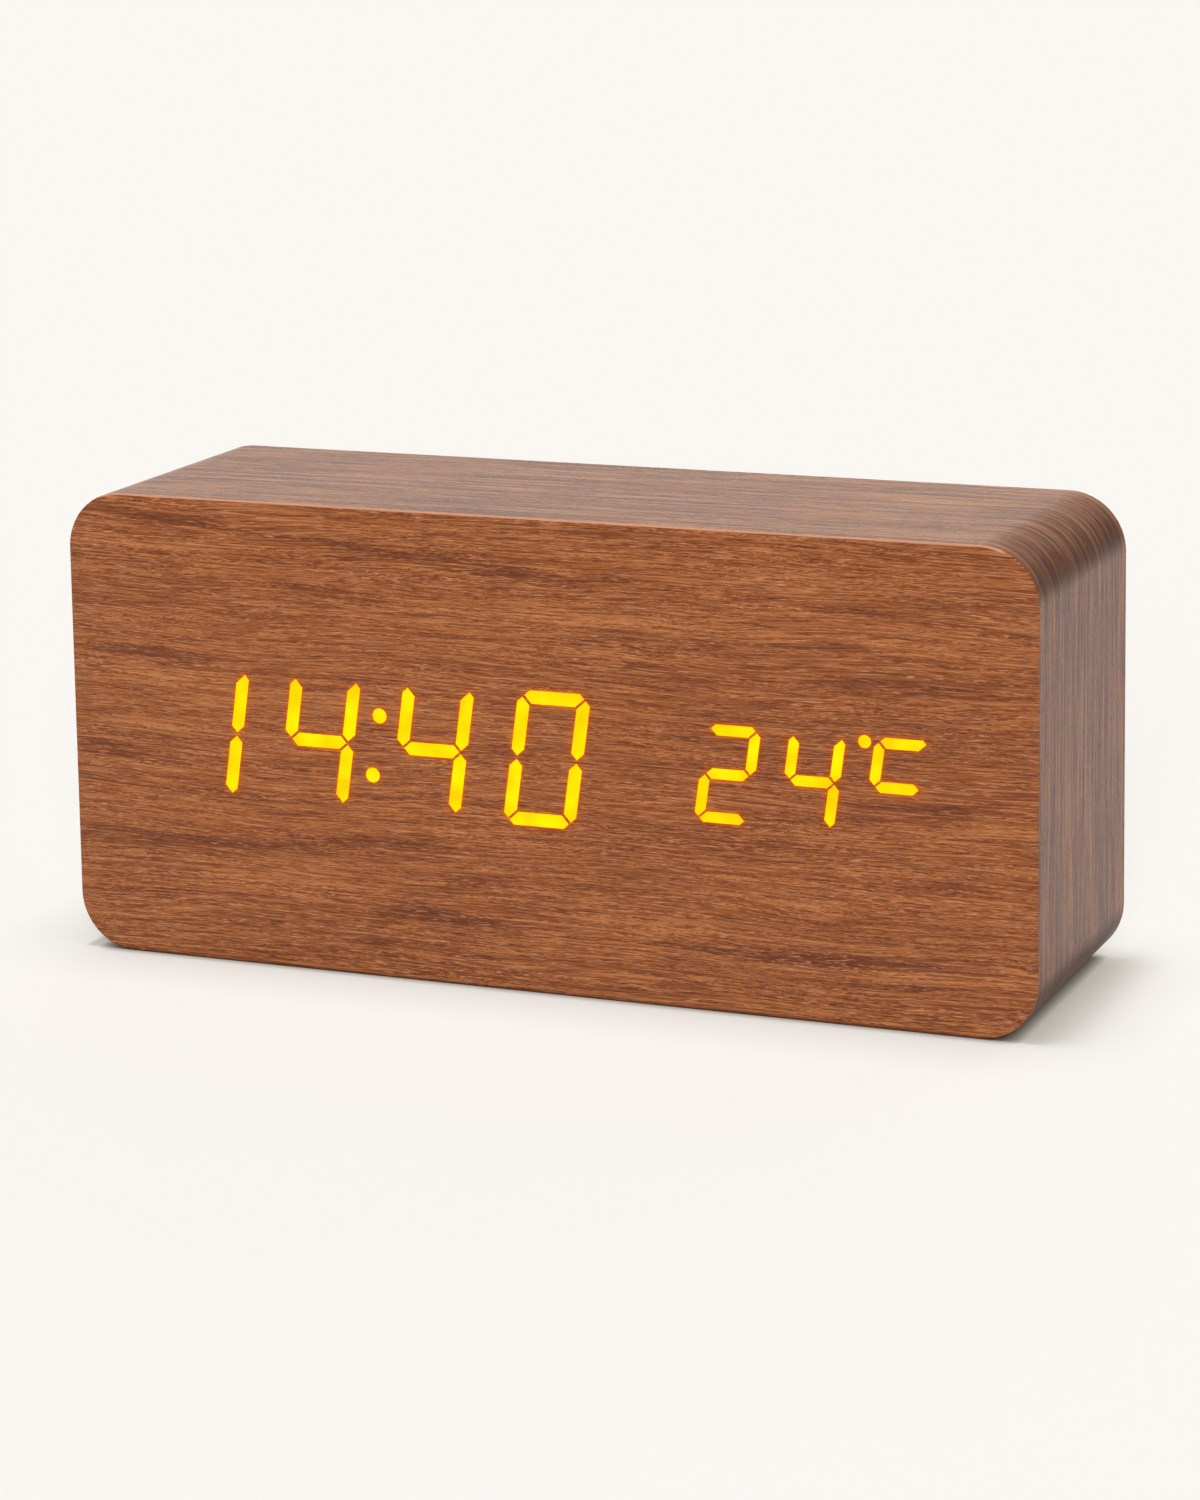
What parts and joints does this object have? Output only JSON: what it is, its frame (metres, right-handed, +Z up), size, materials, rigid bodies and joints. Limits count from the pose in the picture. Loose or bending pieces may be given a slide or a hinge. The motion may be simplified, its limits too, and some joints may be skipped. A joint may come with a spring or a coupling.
{
  "type": "digital alarm clock",
  "caption": "Rounded wood-veneer block clock with amber seven-segment digits shining through the front sheet, rear buttons, power inlet and hinged battery door.",
  "frame": {"origin": "centre of the block's bottom face", "axes": "+X along the width, to the right seen from the front; -Y out of the display; +Z up"},
  "size_m": [0.15, 0.045, 0.07],
  "materials": {
    "veneer": "satin wood-grain veneer, red-brown",
    "fibreboard": "raw fibreboard",
    "lit_lens": "lit amber light guide",
    "black_plastic": "fine matt black moulding",
    "button_plastic": "satin dark grey moulding",
    "circuit_board": "green solder mask",
    "chip_resin": "matt black resin",
    "steel": "plated steel",
    "dark_steel": "blackened steel",
    "cell_sleeve": "plain dark cell sleeve",
    "ribbon_grey": "grey ribbon sleeve",
    "red_sleeve": "red wire sleeve",
    "black_sleeve": "black wire sleeve"
  },
  "bodies": {
    "case": {"front_veneer": "veneer", "side_veneer": "veneer", "back_veneer": "veneer", "case_frame": "fibreboard", "front_board": "fibreboard", "back_board": "fibreboard", "segment_lens": "lit_lens", "light_mask": "black_plastic", "control_panel": "black_plastic", "battery_tray": "black_plastic", "dc_jack": "black_plastic", "coin_cell_holder": "black_plastic", "display_board": "circuit_board", "key_board": "circuit_board", "driver_chip": "chip_resin", "buzzer": "chip_resin", "thermistor": "chip_resin", "crystal": "steel", "coin_cell": "steel", "microphone": "steel", "set_switch": "steel", "up_switch": "steel", "down_switch": "steel", "slide_switch": "steel", "battery_spring_1": "steel", "battery_spring_2": "steel", "battery_spring_3": "steel", "battery_contact_1": "steel", "battery_contact_2": "steel", "battery_contact_3": "steel", "board_screw_1": "dark_steel", "board_screw_2": "dark_steel", "board_screw_3": "dark_steel", "board_screw_4": "dark_steel", "back_screw_1": "dark_steel", "back_screw_2": "dark_steel", "back_screw_3": "dark_steel", "back_screw_4": "dark_steel", "panel_screw_1": "dark_steel", "panel_screw_2": "dark_steel", "tray_screw_1": "dark_steel", "tray_screw_2": "dark_steel", "key_board_screw_1": "dark_steel", "key_board_screw_2": "dark_steel", "battery_1": "cell_sleeve", "battery_2": "cell_sleeve", "battery_3": "cell_sleeve", "ribbon_cable": "ribbon_grey", "red_wire": "red_sleeve", "black_wire": "black_sleeve"},
    "set_button": {"set_button": "button_plastic", "set_plunger": "chip_resin"},
    "up_button": {"up_button": "button_plastic", "up_plunger": "chip_resin"},
    "down_button": {"down_button": "button_plastic", "down_plunger": "chip_resin"},
    "slide_switch_knob": {"slide_switch_knob": "button_plastic"},
    "battery_door": {"battery_door": "black_plastic"}
  },
  "joints": [
    {"name": "set_button_press", "type": "slide", "parent": "case", "child": "set_button", "axis": [0, -1, 0], "range_m": [0, 0.0005], "stiffness_N_per_m": 600},
    {"name": "up_button_press", "type": "slide", "parent": "case", "child": "up_button", "axis": [0, -1, 0], "range_m": [0, 0.0005], "stiffness_N_per_m": 600},
    {"name": "down_button_press", "type": "slide", "parent": "case", "child": "down_button", "axis": [0, -1, 0], "range_m": [0, 0.0005], "stiffness_N_per_m": 600},
    {"name": "slide_switch_slide", "type": "slide", "parent": "case", "child": "slide_switch_knob", "axis": [1, 0, 0], "range_m": [0, 0.002]},
    {"name": "battery_door_hinge", "type": "hinge", "parent": "case", "child": "battery_door", "pos_m": [-0.036, 0.0214, 0.01845], "axis": [-1, 0, 0], "range_deg": [0, 85]}
  ]
}
